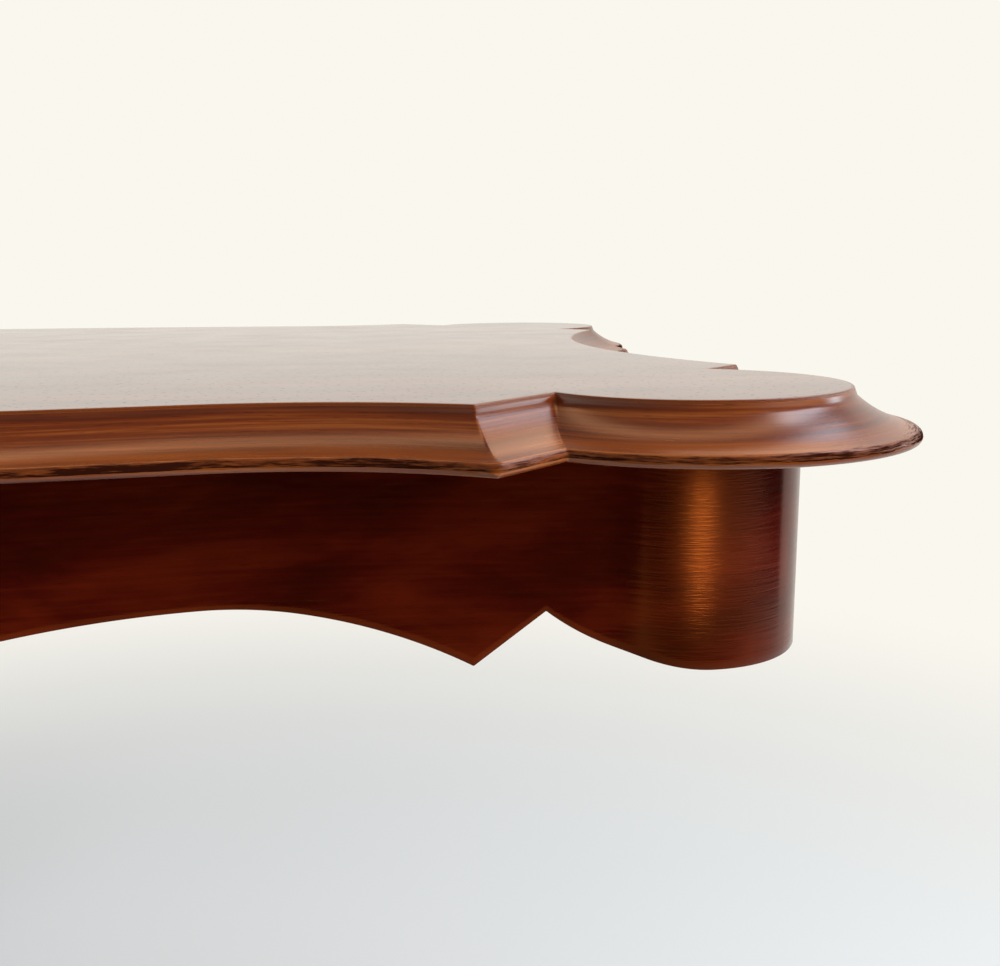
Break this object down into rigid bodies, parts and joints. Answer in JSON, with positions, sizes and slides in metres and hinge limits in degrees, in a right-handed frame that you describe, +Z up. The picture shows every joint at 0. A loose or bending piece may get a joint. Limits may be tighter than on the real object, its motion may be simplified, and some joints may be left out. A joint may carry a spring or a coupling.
{
  "type": "occasional table",
  "caption": "Occasional table with a shaped flat top, an ogee moulded edge, a scalloped veneered apron with round corner drums, a turned column and scroll legs.",
  "frame": {"origin": "on the floor, under the middle of the table", "axes": "+Z up, +X along the table's length, -Y the front"},
  "size_m": [0.9442, 0.6122, 0.716],
  "materials": {
    "top_wood": "French-polished mahogany, worn at the lip",
    "apron_veneer": "French-polished dark mahogany veneer",
    "base_wood": "French-polished dark mahogany",
    "carcase_wood": "plain sawn softwood, aged",
    "iron": "dark forged plate",
    "screw_steel": "plain steel, dulled"
  },
  "bodies": {
    "root": {"apron_corner_back_left": "carcase_wood", "apron_corner_back_right": "carcase_wood", "apron_corner_front_left": "carcase_wood", "apron_corner_front_right": "carcase_wood", "apron_dowels": "carcase_wood", "apron_rail_back": "carcase_wood", "apron_rail_front": "carcase_wood", "apron_rail_left": "carcase_wood", "apron_rail_right": "carcase_wood", "apron_veneer_back": "apron_veneer", "apron_veneer_front": "apron_veneer", "apron_veneer_left": "apron_veneer", "apron_veneer_right": "apron_veneer", "bearer_cross": "carcase_wood", "bearer_long": "carcase_wood", "bearer_screws": "screw_steel", "column": "base_wood", "column_wedge": "carcase_wood", "drop_finial": "base_wood", "glue_blocks": "carcase_wood", "leg_back_left": "base_wood", "leg_back_right": "base_wood", "leg_front_left": "base_wood", "leg_front_right": "base_wood", "spider_plate": "iron", "spider_screws": "screw_steel", "top_board_back": "top_wood", "top_board_front": "top_wood", "top_board_middle": "top_wood", "top_loose_tongues": "carcase_wood"}
  },
  "joints": []
}
